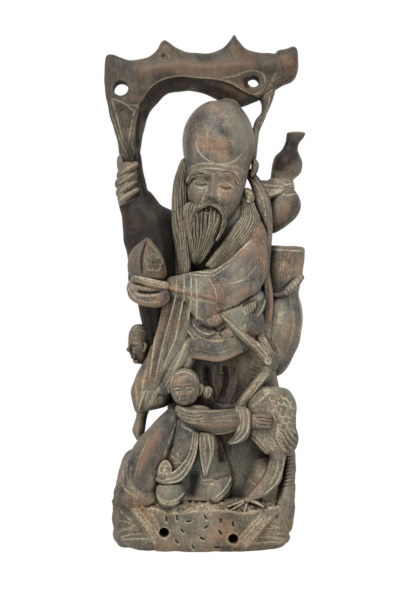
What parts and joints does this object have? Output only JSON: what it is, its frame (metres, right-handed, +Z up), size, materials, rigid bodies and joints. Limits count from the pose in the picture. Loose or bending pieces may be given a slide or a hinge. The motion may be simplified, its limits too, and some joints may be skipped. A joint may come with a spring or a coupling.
{
  "type": "carved wooden statue",
  "caption": "Carved wooden statue of a long-bearded elder with a thorned staff, peach, gourd and sack, a child beside the sleeve, and a boy hugging a crane, standing on a flat rock base.",
  "frame": {"origin": "middle of the base's flat underside", "axes": "+X to the viewer's right, +Y to the back, +Z up; the elder faces -Y"},
  "size_m": [0.1422, 0.0957, 0.3615],
  "materials": {
    "robe_wood": "dark aged wood, satin, rubbed brown on the ridges, pale dust in the cuts",
    "skin_wood": "dark aged wood, handled to a soft shine",
    "hair_wood": "dark aged wood cut in fine strands, pale dust in the cuts",
    "staff_wood": "dark aged wood with upright grain, satin",
    "rock_wood": "dark aged wood, dry and dusty",
    "feather_wood": "dark aged wood cut in scales and feathers, dusty"
  },
  "bodies": {
    "root": {"rock_base": "rock_wood", "rock_crag": "rock_wood", "rock_spur": "rock_wood", "elder_skirt": "robe_wood", "elder_torso": "robe_wood", "elder_head": "skin_wood", "beard": "hair_wood", "hair_lock_left": "hair_wood", "hair_lock_right": "hair_wood", "front_sleeve": "robe_wood", "robe_flare": "robe_wood", "robe_tail": "robe_wood", "robe_apron": "robe_wood", "waist_sash": "robe_wood", "hanging_sleeve": "robe_wood", "peach_hand": "skin_wood", "peach": "skin_wood", "staff_head": "staff_wood", "staff_shaft": "staff_wood", "raised_fist": "skin_wood", "raised_sleeve": "robe_wood", "staff_twig": "staff_wood", "gourd": "staff_wood", "gourd_tie": "robe_wood", "sack": "robe_wood", "sack_tie": "robe_wood", "shoulder_strap": "robe_wood", "page_head": "skin_wood", "crane_body": "feather_wood", "crane_neck": "feather_wood", "crane_beak": "feather_wood", "crane_back": "feather_wood", "crane_wing": "feather_wood", "crane_leg": "feather_wood", "crane_foot": "feather_wood", "boy_robe": "robe_wood", "boy_head": "skin_wood", "boy_sleeve": "robe_wood", "boy_cuff": "robe_wood", "boy_hand": "skin_wood", "boy_stole": "robe_wood", "boy_tassels": "robe_wood", "boy_shoe_left": "robe_wood", "boy_shoe_right": "robe_wood", "boy_cloak": "robe_wood"}
  },
  "joints": []
}
